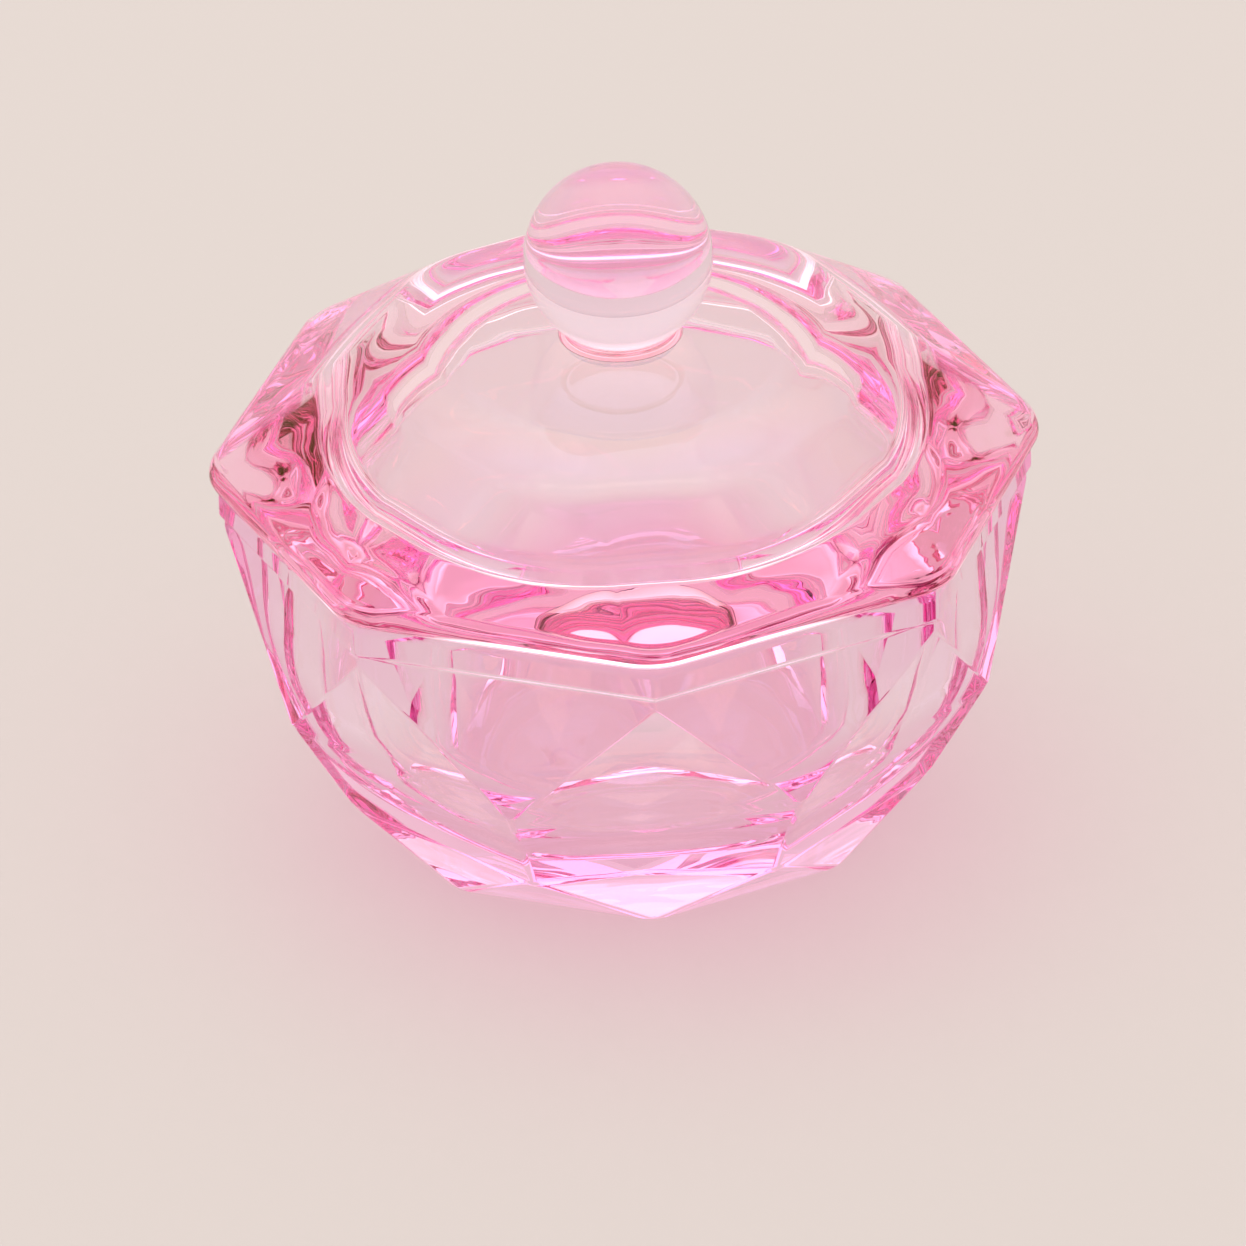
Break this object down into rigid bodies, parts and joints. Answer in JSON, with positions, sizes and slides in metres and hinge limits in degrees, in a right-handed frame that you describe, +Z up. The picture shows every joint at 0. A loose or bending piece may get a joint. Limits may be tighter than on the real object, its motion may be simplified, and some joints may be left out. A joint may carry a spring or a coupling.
{
  "type": "dappen dish",
  "caption": "Small faceted octagonal glass dish with a round cavity and a loose ball-knobbed lid, for nail liquids and powders.",
  "frame": {"origin": "centre of the foot's flat underside", "axes": "+Z up along the dish's axis, towards the knob; corners of the rim lie on +X, +Y and every 45 degrees between"},
  "size_m": [0.0536, 0.0536, 0.0448],
  "materials": {
    "pink_glass": "polished pink pressed glass with rounded mould edges",
    "clear_glass": "polished, nearly clear glass with a faint pink cast",
    "cured_adhesive": "glossy cured clear adhesive with a warm tint"
  },
  "bodies": {
    "dish_body": {"bowl": "pink_glass"},
    "knob_body": {"ball_knob": "clear_glass", "knob_adhesive": "cured_adhesive"},
    "lid_body": {"lid": "pink_glass"}
  },
  "joints": [
    {"name": "lid_lift", "type": "slide", "parent": "dish_body", "child": "knob_body", "axis": [0, 0, 1], "range_m": [0, 0.04]},
    {"name": "lid_turn", "type": "hinge", "parent": "knob_body", "child": "lid_body", "pos_m": [0, 0, 0.0334], "axis": [0, 0, 1], "continuous": true}
  ]
}
